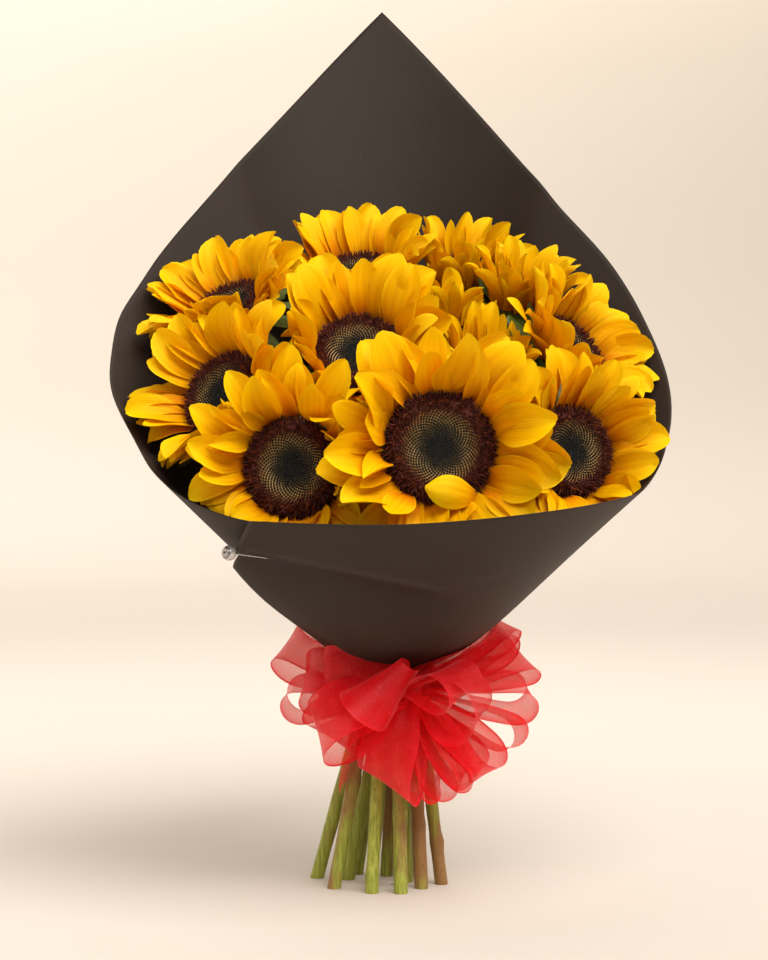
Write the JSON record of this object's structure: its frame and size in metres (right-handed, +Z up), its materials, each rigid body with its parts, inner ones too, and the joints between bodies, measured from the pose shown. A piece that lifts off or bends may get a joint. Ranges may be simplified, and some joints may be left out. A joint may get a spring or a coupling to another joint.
{
  "type": "bunch of sunflowers",
  "caption": "Hand-tied bunch of cut sunflowers in a pointed cone of dark paper, closed with a pearl-head pin and a red organza ribbon bow, standing on its stems.",
  "frame": {"origin": "on the surface the cut stems stand on, under the middle of the bunch's own box", "axes": "+Z up along the stems; the flowers and the bow face -Y; +X is to the right seen from the front"},
  "size_m": [0.341, 0.3286, 0.5758],
  "materials": {
    "paper": "matte dark charcoal wrapping paper",
    "bead": "pearl bead",
    "pin_steel": "polished steel wire",
    "ribbon": "sheer organza with woven edges",
    "stem": "fresh green stem, brown in patches",
    "petal": "golden ray petals",
    "disc": "dark disc florets"
  },
  "bodies": {
    "root": {"paper_wrap": "paper", "pin_head": "bead", "pin_shaft": "pin_steel", "ribbon_band": "ribbon", "bow": "ribbon", "stem_01": "stem", "petals_01": "petal", "disc_01": "disc", "stem_02": "stem", "petals_02": "petal", "disc_02": "disc", "stem_03": "stem", "petals_03": "petal", "disc_03": "disc", "stem_04": "stem", "petals_04": "petal", "disc_04": "disc", "stem_05": "stem", "petals_05": "petal", "disc_05": "disc", "stem_06": "stem", "petals_06": "petal", "disc_06": "disc", "stem_07": "stem", "petals_07": "petal", "disc_07": "disc", "stem_08": "stem", "petals_08": "petal", "disc_08": "disc", "stem_09": "stem", "petals_09": "petal", "disc_09": "disc", "stem_10": "stem", "petals_10": "petal", "disc_10": "disc", "stem_11": "stem", "petals_11": "petal", "disc_11": "disc", "stem_12": "stem", "petals_12": "petal", "disc_12": "disc"}
  },
  "joints": []
}
